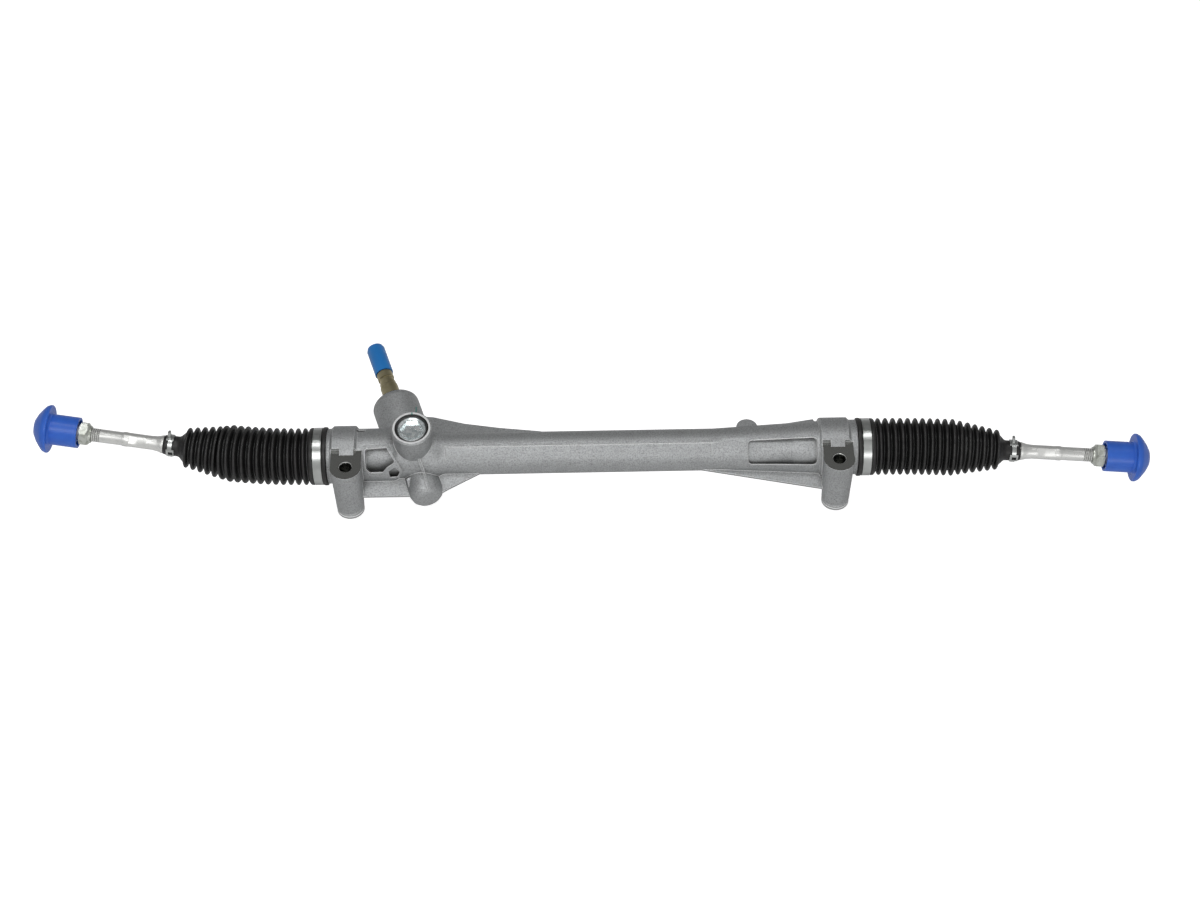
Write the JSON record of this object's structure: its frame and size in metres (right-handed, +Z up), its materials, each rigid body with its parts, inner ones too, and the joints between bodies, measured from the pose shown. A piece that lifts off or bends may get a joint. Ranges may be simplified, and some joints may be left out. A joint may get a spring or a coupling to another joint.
{
  "type": "steering rack",
  "caption": "Manual rack and pinion steering gear: die-cast housing with two mounting bosses, bellows boots and inner tie rods with protective end caps",
  "frame": {"origin": "midway between the two mounting bolts on the plane of the feet", "axes": "+X along the rack away from the pinion tower, +Z up the mounting bolts towards the bolt heads, +Y from the bolts towards the rack"},
  "size_m": [1.1485, 0.2032, 0.0932],
  "materials": {
    "cast_aluminium": "as die-cast, machined on the seats and feet",
    "zinc_plug": "bright zinc plate",
    "turned_steel": "turned, bare",
    "zinc_shaft": "yellowed zinc on ground steel",
    "zinc_nut": "zinc plate",
    "band_steel": "stainless strip",
    "bearing_steel": "ground",
    "boot_rubber": "matt moulded",
    "seal_rubber": "matt moulded",
    "liner_plastic": "low-friction liner",
    "spring_steel": "oiled",
    "royal_blue_plastic": "moulded, semi-matt",
    "azure_plastic": "moulded, semi-matt"
  },
  "bodies": {
    "housing": {"housing": "cast_aluminium", "rack_guide_yoke": "cast_aluminium", "rack_guide_liner": "liner_plastic", "rack_guide_spring": "spring_steel", "rack_guide_plug": "zinc_plug", "rack_guide_seal": "seal_rubber", "pinion_bearing_outer_race": "bearing_steel", "pinion_needle_bearing": "bearing_steel", "pinion_lock_ring": "turned_steel", "pinion_seal": "seal_rubber", "rack_bush": "liner_plastic", "left_boot": "boot_rubber", "left_boot_clamp": "band_steel", "right_boot": "boot_rubber", "right_boot_clamp": "band_steel"},
    "pinion": {"pinion_shaft": "zinc_shaft", "pinion_bearing_inner_race": "bearing_steel"},
    "bearing_balls": {"pinion_bearing_balls": "bearing_steel"},
    "pinion_cap": {"pinion_cap": "azure_plastic"},
    "rack": {"rack_bar": "turned_steel", "left_ball_socket": "turned_steel", "left_ball_seat": "liner_plastic", "left_lock_washer": "band_steel", "right_ball_socket": "turned_steel", "right_ball_seat": "liner_plastic", "right_lock_washer": "band_steel"},
    "left_swing": {"left_boot_clip": "band_steel"},
    "left_tie_rod": {"left_tie_rod": "turned_steel"},
    "left_jam_nut": {"left_jam_nut": "zinc_nut"},
    "left_end_cap": {"left_end_cap": "royal_blue_plastic"},
    "right_swing": {"right_boot_clip": "band_steel"},
    "right_tie_rod": {"right_tie_rod": "turned_steel"},
    "right_jam_nut": {"right_jam_nut": "zinc_nut"},
    "right_end_cap": {"right_end_cap": "royal_blue_plastic"}
  },
  "joints": [
    {"name": "rack_slide", "type": "slide", "parent": "housing", "child": "rack", "axis": [1, 0, 0], "range_m": [-0.06, 0.06], "deforming": ["left_boot", "right_boot"]},
    {"name": "pinion_spin", "type": "hinge", "parent": "housing", "child": "pinion", "pos_m": [-0.1826, 0.03719, 0.02909], "axis": [-0.3074, 0.9455, 0.1077], "range_deg": [-468, 468]},
    {"name": "bearing_balls_spin", "type": "hinge", "parent": "housing", "child": "bearing_balls", "pos_m": [-0.1826, 0.03719, 0.02909], "axis": [-0.3074, 0.9455, 0.1077], "range_deg": [-185, 185]},
    {"name": "pinion_cap_pull", "type": "slide", "parent": "pinion", "child": "pinion_cap", "axis": [-0.3074, 0.9455, 0.1077], "range_m": [0, 0.06]},
    {"name": "left_tie_rod_swing", "type": "hinge", "parent": "rack", "child": "left_swing", "pos_m": [-0.3426, 0.0356, 0.043], "axis": [0, -0.7071, 0.7071], "range_deg": [-9.2, 26.8]},
    {"name": "left_tie_rod_turn", "type": "hinge", "parent": "left_swing", "child": "left_tie_rod", "pos_m": [-0.3426, 0.0356, 0.043], "axis": [-0.9882, 0.1082, 0.1082], "range_deg": [-180, 180]},
    {"name": "left_jam_nut_turn", "type": "hinge", "parent": "left_tie_rod", "child": "left_jam_nut", "pos_m": [-0.3426, 0.0356, 0.043], "axis": [-0.9882, 0.1082, 0.1082], "range_deg": [-180, 180]},
    {"name": "left_end_cap_pull", "type": "slide", "parent": "left_tie_rod", "child": "left_end_cap", "axis": [-0.9882, 0.1082, 0.1082], "range_m": [0, 0.06]},
    {"name": "right_tie_rod_swing", "type": "hinge", "parent": "rack", "child": "right_swing", "pos_m": [0.3426, 0.0356, 0.043], "axis": [0, -0.7071, 0.7071], "range_deg": [-13.75, 22.25]},
    {"name": "right_tie_rod_turn", "type": "hinge", "parent": "right_swing", "child": "right_tie_rod", "pos_m": [0.3426, 0.0356, 0.043], "axis": [0.9973, -0.0524, -0.0524], "range_deg": [-180, 180]},
    {"name": "right_jam_nut_turn", "type": "hinge", "parent": "right_tie_rod", "child": "right_jam_nut", "pos_m": [0.3426, 0.0356, 0.043], "axis": [0.9973, -0.0524, -0.0524], "range_deg": [-180, 180]},
    {"name": "right_end_cap_pull", "type": "slide", "parent": "right_tie_rod", "child": "right_end_cap", "axis": [0.9973, -0.0524, -0.0524], "range_m": [0, 0.06]}
  ],
  "couplings": [
    {"joint": "pinion_spin", "follows": "rack_slide", "rad_per_m": 135.94},
    {"joint": "bearing_balls_spin", "follows": "rack_slide", "rad_per_m": 53.5}
  ]
}
